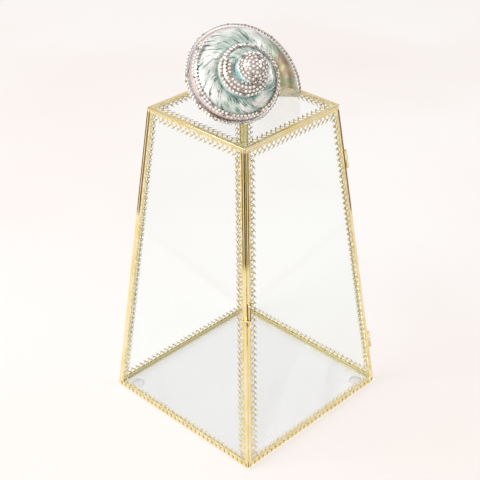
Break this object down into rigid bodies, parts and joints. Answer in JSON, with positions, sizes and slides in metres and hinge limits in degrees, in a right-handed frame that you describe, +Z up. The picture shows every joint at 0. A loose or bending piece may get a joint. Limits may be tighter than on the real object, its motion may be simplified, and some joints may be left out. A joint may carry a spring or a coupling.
{
  "type": "glass jewelry box",
  "caption": "Tapered glass jewelry box with brass cames, lace trim, a hinged side door held by a hook latch, clear feet and a rhinestone-set turban shell on top.",
  "frame": {"origin": "centre of the square base, at the underside of the clear pads", "axes": "+Z up; the door's wall faces -Y and the corner with the latch is at (-X, -Y)"},
  "size_m": [0.1298, 0.1297, 0.2649],
  "materials": {
    "brass": "polished, pale gold",
    "lace_brass": "pierced and pressed strip, pale gold",
    "glass": "clear, polished",
    "clear_pad": "clear soft bumper",
    "nacre": "polished shell, pearly green",
    "glue": "clear cement",
    "rhinestone": "foiled faceted stone"
  },
  "bodies": {
    "case": {"front_left_came": "brass", "back_left_came": "brass", "back_right_came": "brass", "base_came": "brass", "top_came": "brass", "front_left_glass": "glass", "back_left_glass": "glass", "back_right_glass": "glass", "base_glass": "glass", "top_glass": "glass", "front_left_lace": "lace_brass", "back_left_lace": "lace_brass", "back_right_lace": "lace_brass", "top_lace": "lace_brass", "foot_pads": "clear_pad", "lower_hinge_fixed_knuckle": "brass", "lower_hinge_pin": "brass", "upper_hinge_fixed_knuckle": "brass", "upper_hinge_pin": "brass", "catch_post": "brass", "door_stop": "brass", "turban_shell": "nacre", "shell_glue": "glue", "outer_rhinestone_chain": "rhinestone", "inner_rhinestone_chain": "rhinestone", "spire_rhinestones": "rhinestone", "apex_rhinestones": "rhinestone"},
    "door": {"door_came": "brass", "door_glass": "glass", "door_lace": "lace_brass", "lower_hinge_door_knuckle": "brass", "upper_hinge_door_knuckle": "brass", "latch_base": "brass", "latch_pivot_pin": "brass", "latch_rivet": "brass"},
    "latch_hook": {"latch_hook": "brass"}
  },
  "joints": [
    {"name": "door_hinge", "type": "hinge", "parent": "case", "child": "door", "pos_m": [0.06458, -0.06458, 0.00111], "axis": [-0.1031, 0.1031, 0.9893], "range_deg": [0, 170]},
    {"name": "latch_swing", "type": "hinge", "parent": "door", "child": "latch_hook", "pos_m": [-0.05322, -0.05569, 0.10689], "axis": [0.6996, 0.6996, -0.1457], "range_deg": [0, 65]}
  ]
}
